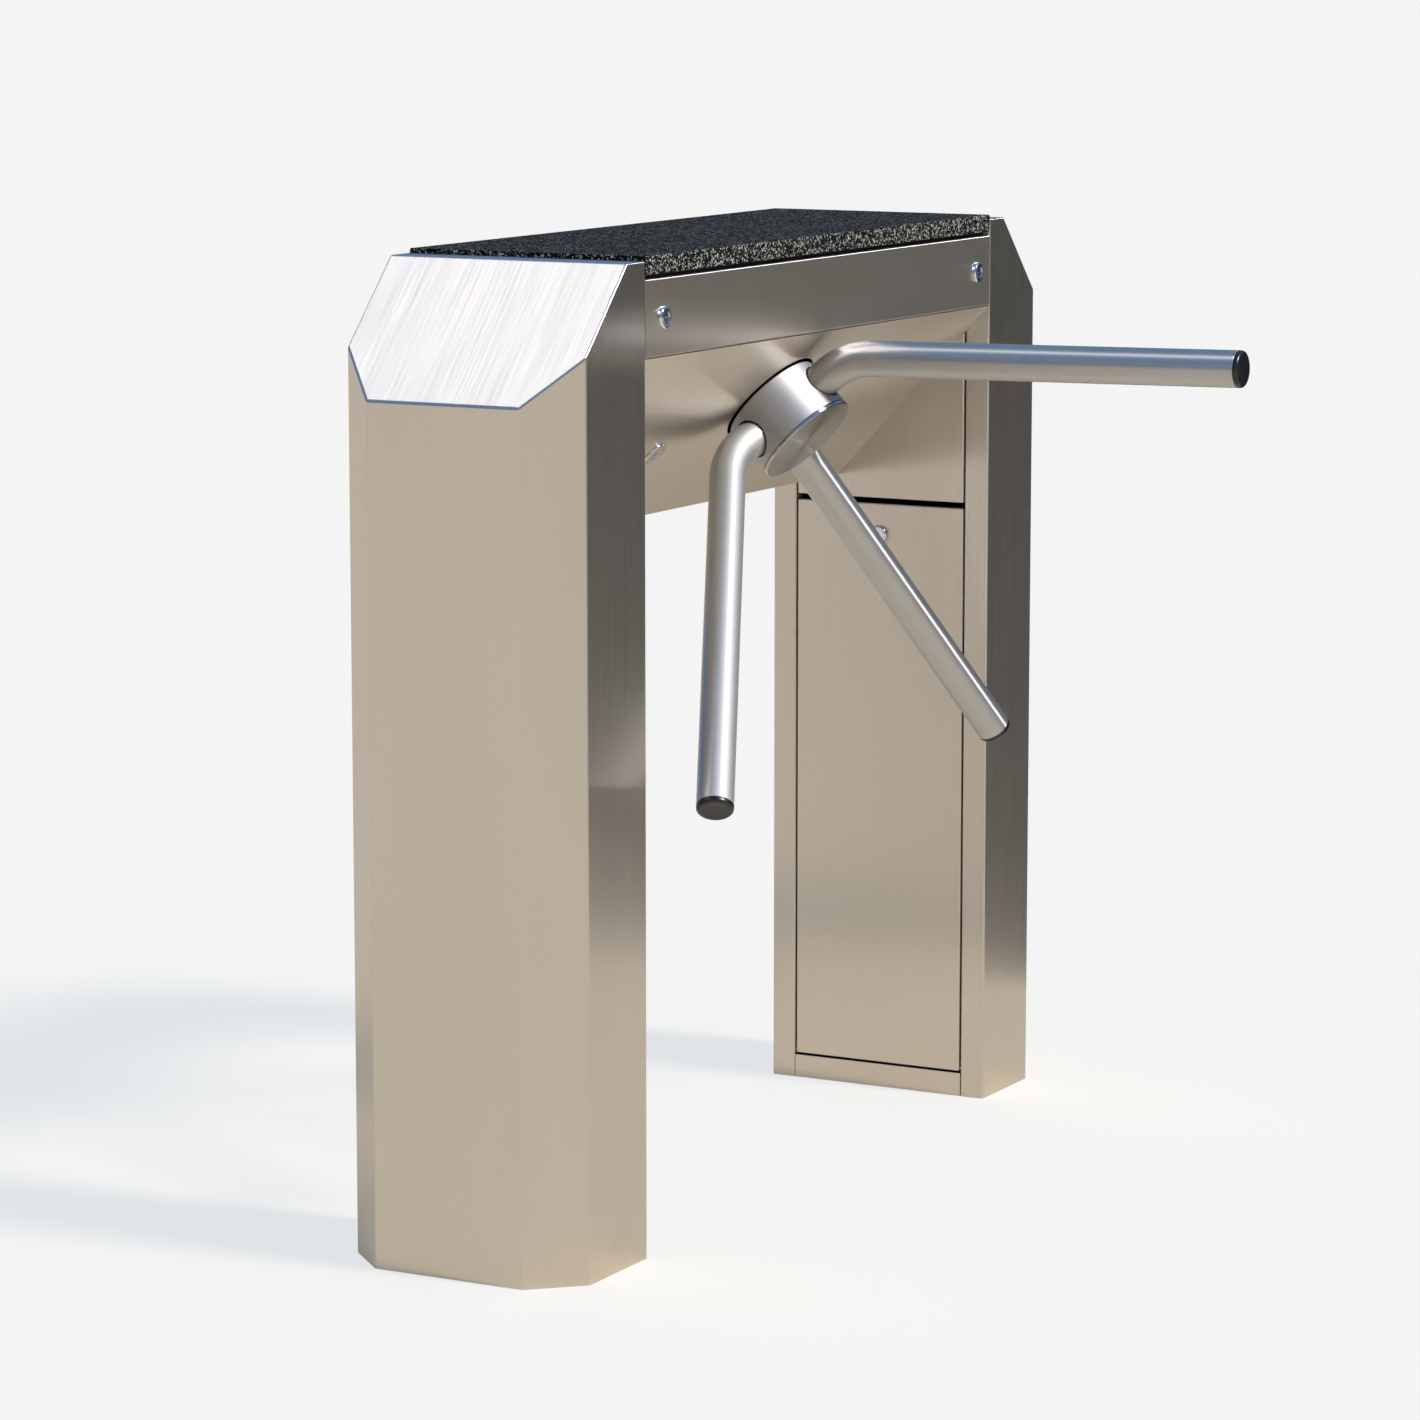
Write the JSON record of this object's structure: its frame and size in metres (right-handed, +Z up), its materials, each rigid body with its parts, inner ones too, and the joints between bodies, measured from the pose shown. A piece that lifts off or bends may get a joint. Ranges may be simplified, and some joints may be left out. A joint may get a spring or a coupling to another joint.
{
  "type": "tripod turnstile",
  "caption": "Waist-high tripod turnstile: two stainless posts carry a bridge with a stone top and a tilted rotor with bent tube arms.",
  "frame": {"origin": "on the floor, at the centre of the anchor holes, midway between the two posts", "axes": "+X across the cabinet towards the passage side, +Y along the cabinet towards the far post, +Z up"},
  "size_m": [0.776, 1.172, 1.055],
  "materials": {
    "brushed_stainless": "vertical brush grain, satin",
    "satin_tube": "satin, ground along the tube",
    "turned_stainless": "fine turned rings",
    "black_plug": "moulded, fine grain",
    "black_granite": "polished top, sawn and rubbed edges with grey grains",
    "bed_rubber": "matt",
    "lock_chrome": "polished plating",
    "zinc_steel": "zinc plated, dull",
    "cast_housing": "cast and painted grey",
    "carrier_aluminium": "cast and machined",
    "ground_steel": "ground bright",
    "pinion_brass": "machined",
    "black_housing": "moulded",
    "unit_enclosure": "folded sheet, powder grain"
  },
  "bodies": {
    "frame": {"near_post": "brushed_stainless", "far_post": "brushed_stainless", "near_base_plate": "zinc_steel", "far_base_plate": "zinc_steel", "door_sills": "brushed_stainless", "upper_panels": "brushed_stainless", "door_studs": "zinc_steel", "bridge_end_plates": "zinc_steel", "slope_panel": "brushed_stainless", "bottom_panel": "brushed_stainless", "rear_panel": "brushed_stainless", "upper_rail": "zinc_steel", "lower_rail": "zinc_steel", "mechanism_plate": "zinc_steel", "bearing_housing": "cast_housing", "shaft_bearings": "ground_steel", "solenoids": "black_housing", "lever_pivots": "zinc_steel", "lever_springs": "ground_steel", "damper_body": "black_housing", "position_sensor": "black_housing", "mechanism_screws": "zinc_steel", "control_unit": "unit_enclosure", "power_supply": "unit_enclosure", "slope_lock_body": "lock_chrome", "cover_hinge_leaves": "zinc_steel"},
    "rotor": {"main_shaft": "ground_steel", "hub_carrier": "carrier_aluminium", "hub_shell": "turned_stainless", "hub_cap": "turned_stainless", "shaft_nut": "zinc_steel", "drive_gear": "zinc_steel", "index_disc": "zinc_steel", "level_arm": "satin_tube", "near_arm": "satin_tube", "far_arm": "satin_tube", "level_arm_plug": "black_plug", "near_arm_plug": "black_plug", "far_arm_plug": "black_plug"},
    "damper_pinion": {"damper_pinion": "pinion_brass"},
    "near_lever": {"near_lever": "zinc_steel"},
    "far_lever": {"far_lever": "zinc_steel"},
    "near_plunger": {"near_plunger": "ground_steel"},
    "far_plunger": {"far_plunger": "ground_steel"},
    "cover": {"granite_slab": "black_granite", "slab_bed": "bed_rubber", "cover_tray": "brushed_stainless", "cover_band": "brushed_stainless", "cover_lock_bodies": "lock_chrome", "cover_hinge_knuckles": "zinc_steel"},
    "near_band_lock": {"near_band_lock_core": "lock_chrome"},
    "far_band_lock": {"far_band_lock_core": "lock_chrome"},
    "near_door": {"near_door": "brushed_stainless", "near_door_lock_body": "lock_chrome"},
    "near_door_lock": {"near_door_lock_core": "lock_chrome"},
    "far_door": {"far_door": "brushed_stainless", "far_door_lock_body": "lock_chrome"},
    "far_door_lock": {"far_door_lock_core": "lock_chrome"},
    "slope_lock": {"slope_lock_core": "lock_chrome"}
  },
  "joints": [
    {"name": "rotor_spin", "type": "hinge", "parent": "frame", "child": "rotor", "pos_m": [0.06922, 0, 0.87284], "axis": [0.7254, 0, -0.6884], "continuous": true},
    {"name": "pinion_spin", "type": "hinge", "parent": "frame", "child": "damper_pinion", "pos_m": [0.06922, -0.06, 0.87284], "axis": [0.7254, 0, -0.6884], "continuous": true},
    {"name": "near_lever_swing", "type": "hinge", "parent": "frame", "child": "near_lever", "pos_m": [0.03136, -0.078, 0.83294], "axis": [-0.7254, 0, 0.6884], "range_deg": [0, 14], "stiffness_Nm_per_rad": 0.5, "springref_deg": -20.05},
    {"name": "far_lever_swing", "type": "hinge", "parent": "frame", "child": "far_lever", "pos_m": [0.03136, 0.078, 0.83294], "axis": [0.7254, 0, -0.6884], "range_deg": [0, 14], "stiffness_Nm_per_rad": 0.5, "springref_deg": -20.05},
    {"name": "near_plunger_slide", "type": "slide", "parent": "frame", "child": "near_plunger", "axis": [0, -1, 0], "range_m": [0, 0.007]},
    {"name": "far_plunger_slide", "type": "slide", "parent": "frame", "child": "far_plunger", "axis": [0, 1, 0], "range_m": [0, 0.007]},
    {"name": "cover_lift", "type": "hinge", "parent": "frame", "child": "cover", "pos_m": [-0.146, 0, 1.027], "axis": [0, -1, 0], "range_deg": [0, 75]},
    {"name": "near_door_lean", "type": "hinge", "parent": "frame", "child": "near_door", "pos_m": [0, -0.419, 0.034], "axis": [-1, 0, 0], "range_deg": [0, 12]},
    {"name": "far_door_lean", "type": "hinge", "parent": "frame", "child": "far_door", "pos_m": [0, 0.419, 0.034], "axis": [1, 0, 0], "range_deg": [0, 12]},
    {"name": "near_band_lock_turn", "type": "hinge", "parent": "cover", "child": "near_band_lock", "pos_m": [0.1415, -0.378, 0.99], "axis": [-1, 0, 0], "range_deg": [0, 90]},
    {"name": "far_band_lock_turn", "type": "hinge", "parent": "cover", "child": "far_band_lock", "pos_m": [0.1415, 0.378, 0.99], "axis": [1, 0, 0], "range_deg": [0, 90]},
    {"name": "near_door_lock_turn", "type": "hinge", "parent": "near_door", "child": "near_door_lock", "pos_m": [0, -0.415, 0.672], "axis": [0, -1, 0], "range_deg": [0, 90]},
    {"name": "far_door_lock_turn", "type": "hinge", "parent": "far_door", "child": "far_door_lock", "pos_m": [0, 0.415, 0.672], "axis": [0, -1, 0], "range_deg": [0, 90]},
    {"name": "slope_lock_turn", "type": "hinge", "parent": "frame", "child": "slope_lock", "pos_m": [0.02407, -0.184, 0.82525], "axis": [0.7254, 0, -0.6884], "range_deg": [0, 90]}
  ],
  "couplings": [
    {"joint": "pinion_spin", "follows": "rotor_spin", "ratio": -3},
    {"joint": "near_plunger_slide", "follows": "near_lever_swing", "m_per_rad": 0.028},
    {"joint": "far_plunger_slide", "follows": "far_lever_swing", "m_per_rad": 0.028}
  ]
}
